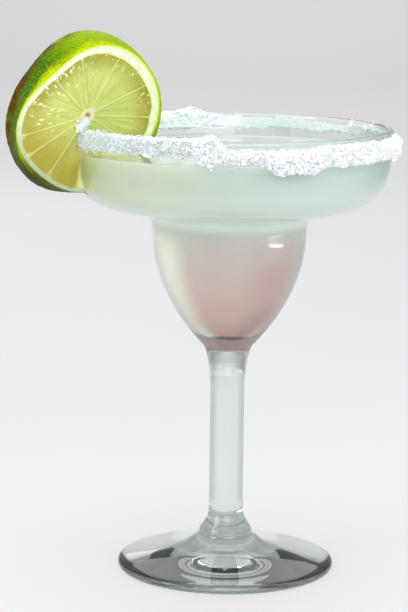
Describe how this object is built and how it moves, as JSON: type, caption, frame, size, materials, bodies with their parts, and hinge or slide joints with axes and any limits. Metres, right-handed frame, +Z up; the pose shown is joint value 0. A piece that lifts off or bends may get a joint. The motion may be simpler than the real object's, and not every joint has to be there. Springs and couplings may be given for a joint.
{
  "type": "margarita cocktail",
  "caption": "Stemmed two-tier cocktail glass filled with a cloudy drink, its rim crusted with coarse salt, with a lime wheel slit onto the rim.",
  "frame": {"origin": "centre of the underside of the glass's foot, on the surface it stands on", "axes": "+Z up along the glass's axis; -Y is the side the picture shows, and +X is to the right in it"},
  "size_m": [0.136, 0.1172, 0.1919],
  "materials": {
    "clear_glass": "clear colourless pressed glass, fire-polished",
    "cloudy_drink": "cloudy pale mint-green liquid with a glossy surface",
    "salt": "coarse white salt crystals in a damp crust",
    "lime": "cut lime: translucent yellow-green flesh, white pith, oily green rind"
  },
  "bodies": {
    "root": {"glass": "clear_glass", "drink": "cloudy_drink", "salt_rim": "salt", "lime_wheel": "lime"}
  },
  "joints": []
}
